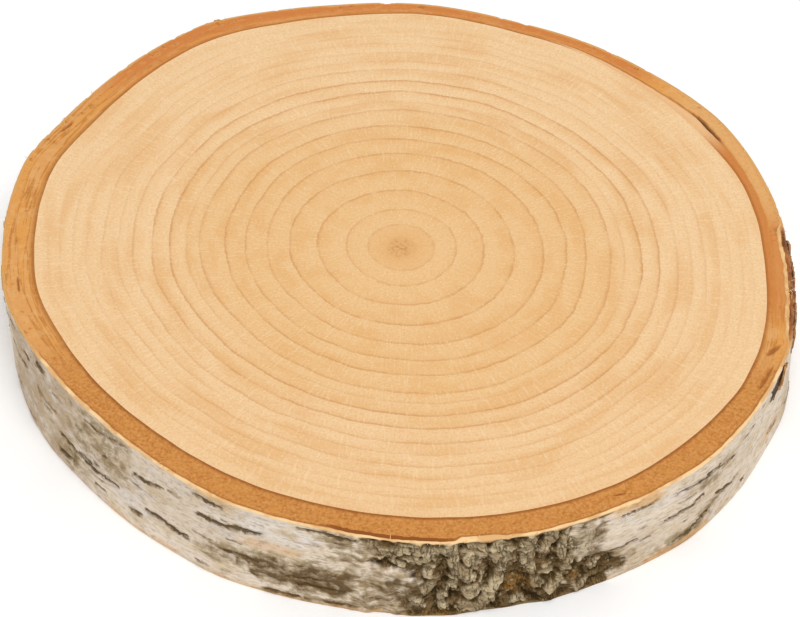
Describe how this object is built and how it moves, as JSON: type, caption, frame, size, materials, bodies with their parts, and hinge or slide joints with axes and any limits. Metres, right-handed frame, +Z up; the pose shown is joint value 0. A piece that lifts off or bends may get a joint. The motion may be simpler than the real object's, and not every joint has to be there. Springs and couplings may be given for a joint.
{
  "type": "wood slice",
  "caption": "Round birch wood slice sawn straight across the trunk, with growth rings on its flat faces and rugged white bark left round its edge.",
  "frame": {"origin": "middle of the slice's outline on its sawn underside", "axes": "+Z up, out of the sawn top face and along the trunk's grain; +X to the right in the picture's view and +Y away from the camera"},
  "size_m": [0.2044, 0.2036, 0.025],
  "materials": {
    "sawn_wood": "sawn and sanded end grain, dry and matt, with fine orange-brown growth rings",
    "inner_bark": "sawn inner bark, orange-brown and granular",
    "outer_bark": "white birch bark, papery and matt, with dark level lenticels and grey fissured patches"
  },
  "bodies": {
    "root": {"wood_slice": "sawn_wood"}
  },
  "joints": []
}
